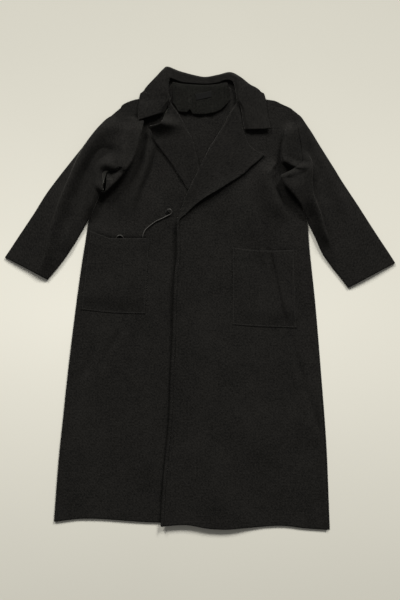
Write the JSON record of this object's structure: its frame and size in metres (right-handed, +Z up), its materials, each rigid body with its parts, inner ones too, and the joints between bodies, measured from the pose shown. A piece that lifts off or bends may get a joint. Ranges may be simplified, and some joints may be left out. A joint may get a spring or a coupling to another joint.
{
  "type": "long coat",
  "caption": "Long dark wool coat with a turned-down collar, notched lapels, patch pockets and a thin tie cord, laid out flat with the fronts lapped; outerwear to be worn or shown",
  "frame": {"origin": "on the surface under the middle of the coat's bounding box", "axes": "+Y from the hem to the collar, +X to the viewer's right (the wearer's left), +Z up out of the front"},
  "size_m": [0.994, 1.1787, 0.0239],
  "materials": {
    "wool": "soft brushed wool, matt",
    "label": "plain woven tape",
    "thread": "worked thread",
    "cord": "round braid, slightly lustrous"
  },
  "bodies": {
    "root": {"back": "wool", "front_left": "wool", "front_right": "wool", "collar": "wool", "sleeve_left": "wool", "sleeve_right": "wool", "pocket_left": "wool", "pocket_right": "wool", "neck_facing": "wool", "label": "label", "eyelet": "thread", "tie_cord": "cord"}
  },
  "joints": []
}
